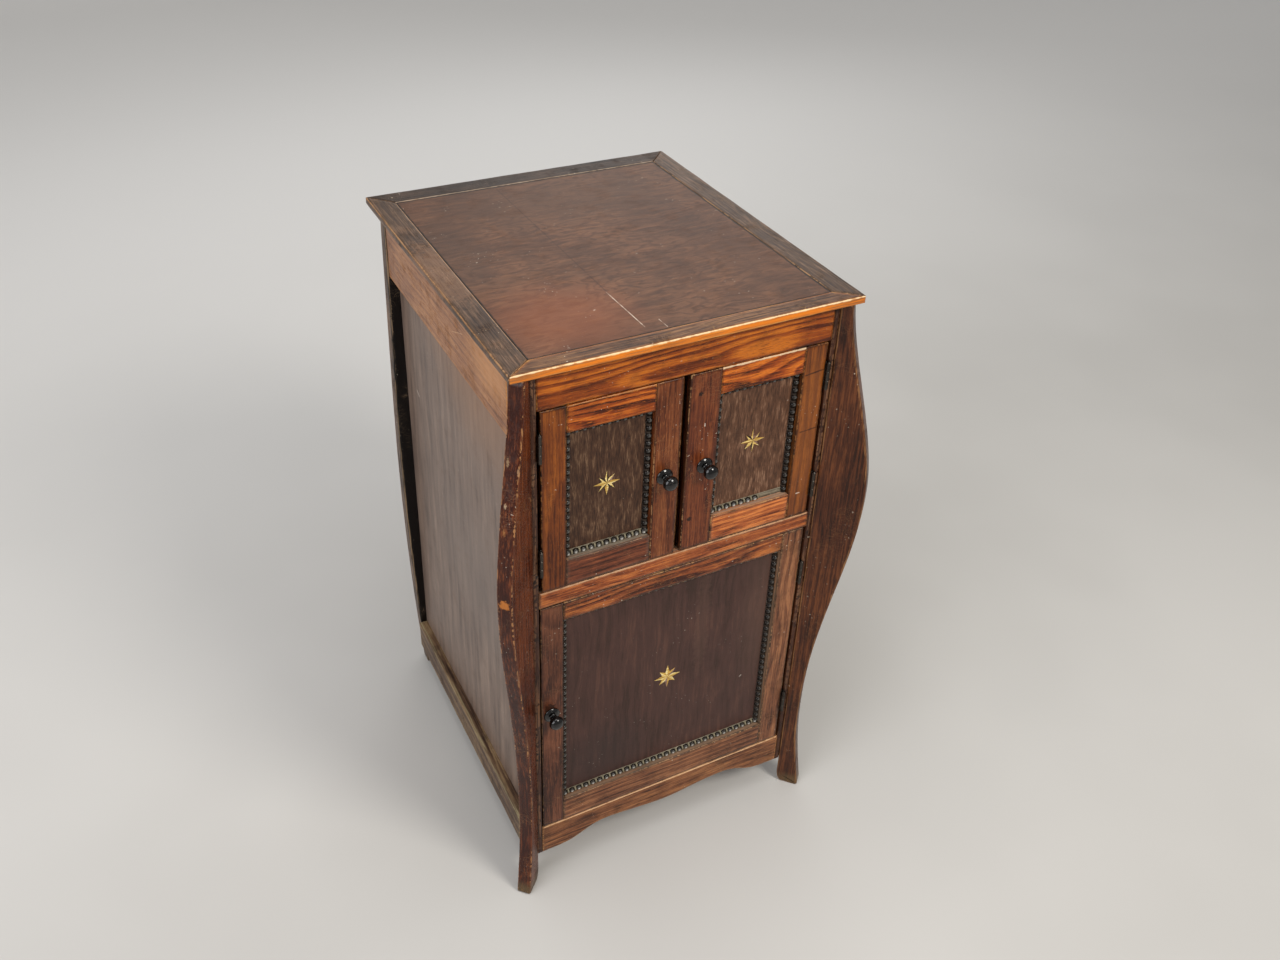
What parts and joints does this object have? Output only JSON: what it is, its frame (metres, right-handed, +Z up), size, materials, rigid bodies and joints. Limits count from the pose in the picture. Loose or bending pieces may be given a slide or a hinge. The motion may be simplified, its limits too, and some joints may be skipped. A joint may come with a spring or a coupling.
{
  "type": "gramophone cabinet",
  "caption": "Floor-standing wind-up gramophone cabinet in oak with serpentine corner boards, a lifting lid over the turntable, doors over the horn mouth and a record cupboard.",
  "frame": {"origin": "on the floor, under the middle of the outline seen from above, which runs from the front corner boards' tips to the back edge of the lid", "axes": "+Z up, the front with the doors faces -Y, +X to the cabinet's right as its user faces the doors"},
  "size_m": [0.5448, 0.58, 0.89],
  "materials": {
    "oak_front": "worn brown stain and varnish",
    "oak_dark": "dark stain and varnish",
    "oak_side": "faded brown stain",
    "oak_top": "faded dark stain",
    "ply_top": "red-brown varnish",
    "ply_panel": "dark stain and varnish",
    "ply_inside": "bare wood",
    "beading": "dark lacquer",
    "star": "light inlay under varnish",
    "black": "black gloss lacquer",
    "iron": "black enamel",
    "nickel": "nickel plate",
    "steel": "bare steel",
    "horn": "brown enamel",
    "cloth": "green felt"
  },
  "bodies": {
    "cabinet": {"corner_post_left": "oak_front", "corner_post_right": "oak_front", "bow_board_left": "oak_dark", "bow_board_right": "oak_dark", "back_post_left": "oak_side", "back_post_right": "oak_side", "front_top_rail": "oak_front", "front_middle_rail": "oak_front", "front_bottom_rail": "oak_front", "side_top_rail_left": "oak_side", "side_top_rail_right": "oak_side", "side_bottom_rail_left": "oak_side", "side_bottom_rail_right": "oak_side", "side_panel_left": "ply_panel", "side_panel_right": "ply_panel", "back_top_rail": "oak_side", "back_bottom_rail": "oak_side", "back_panel": "ply_inside", "motor_board": "oak_front", "mouth_board": "oak_dark", "shelf_board": "ply_inside", "floor_board": "ply_inside", "record_rack": "ply_inside", "horn": "horn", "horn_elbow": "iron", "stay_guide": "steel", "motor_frame": "steel", "tonearm_base": "nickel", "crank_escutcheon": "nickel"},
    "lid": {"lid_left_rail": "oak_top", "lid_right_rail": "oak_top", "lid_front_rail": "oak_top", "lid_back_rail": "oak_top", "lid_panel": "ply_top", "lid_stay": "steel"},
    "left_door": {"left_door_frame": "oak_front", "left_door_panel": "ply_panel", "left_door_beading": "beading", "left_door_star": "star", "left_door_knob": "black"},
    "right_door": {"right_door_frame": "oak_front", "right_door_panel": "ply_panel", "right_door_beading": "beading", "right_door_star": "star", "right_door_knob": "black"},
    "lower_door": {"lower_door_frame": "oak_front", "lower_door_panel": "ply_panel", "lower_door_beading": "beading", "lower_door_star": "star", "lower_door_knob": "black"},
    "platter": {"turntable": "nickel", "turntable_mat": "cloth"},
    "spring_barrel": {"spring_barrel": "steel"},
    "governor": {"governor": "nickel"},
    "tonearm": {"tonearm": "nickel"},
    "soundbox": {"soundbox": "nickel"},
    "brake_lever": {"brake_lever": "nickel"},
    "speed_lever": {"speed_lever": "nickel"},
    "crank": {"crank": "iron"},
    "crank_grip": {"crank_grip": "black"}
  },
  "joints": [
    {"name": "lid_lift", "type": "hinge", "parent": "cabinet", "child": "lid", "pos_m": [0, 0.27902, 0.877], "axis": [-1, 0, 0], "range_deg": [0, 55]},
    {"name": "left_door_swing", "type": "hinge", "parent": "cabinet", "child": "left_door", "pos_m": [-0.20127, -0.24529, 0.6935], "axis": [0, 0, -1], "range_deg": [0, 110]},
    {"name": "right_door_swing", "type": "hinge", "parent": "cabinet", "child": "right_door", "pos_m": [0.20127, -0.24529, 0.6935], "axis": [0, 0, 1], "range_deg": [0, 110]},
    {"name": "lower_door_swing", "type": "hinge", "parent": "cabinet", "child": "lower_door", "pos_m": [0.20127, -0.24529, 0.3243], "axis": [0, 0, 1], "range_deg": [0, 110]},
    {"name": "turntable_spin", "type": "hinge", "parent": "cabinet", "child": "platter", "pos_m": [0, -0.04648, 0.775], "axis": [0, 0, -1], "continuous": true},
    {"name": "barrel_unwind", "type": "hinge", "parent": "cabinet", "child": "spring_barrel", "pos_m": [-0.052, -0.04448, 0.72], "axis": [0, 0, -1], "continuous": true},
    {"name": "governor_spin", "type": "hinge", "parent": "cabinet", "child": "governor", "pos_m": [0, -0.08948, 0.716], "axis": [1, 0, 0], "continuous": true},
    {"name": "tonearm_swing", "type": "hinge", "parent": "cabinet", "child": "tonearm", "pos_m": [0.11, 0.18352, 0.79], "axis": [0, 0, 1], "range_deg": [-22, 6]},
    {"name": "soundbox_lift", "type": "hinge", "parent": "tonearm", "child": "soundbox", "pos_m": [0.14571, -0.0525, 0.836], "axis": [0.9744, 0.225, 0], "range_deg": [0, 150]},
    {"name": "brake_throw", "type": "hinge", "parent": "cabinet", "child": "brake_lever", "pos_m": [-0.15, -0.14649, 0.775], "axis": [0, 0, 1], "range_deg": [0, 30]},
    {"name": "speed_throw", "type": "hinge", "parent": "cabinet", "child": "speed_lever", "pos_m": [0.15, -0.14649, 0.775], "axis": [0, 0, 1], "range_deg": [-30, 30]},
    {"name": "crank_wind", "type": "hinge", "parent": "cabinet", "child": "crank", "pos_m": [0.15, -0.01149, 0.73], "axis": [1, 0, 0], "continuous": true},
    {"name": "crank_grip_spin", "type": "hinge", "parent": "crank", "child": "crank_grip", "pos_m": [0.25, -0.01149, 0.645], "axis": [1, 0, 0], "continuous": true}
  ],
  "couplings": [
    {"joint": "barrel_unwind", "follows": "turntable_spin", "ratio": -0.05},
    {"joint": "governor_spin", "follows": "turntable_spin", "ratio": 8}
  ]
}
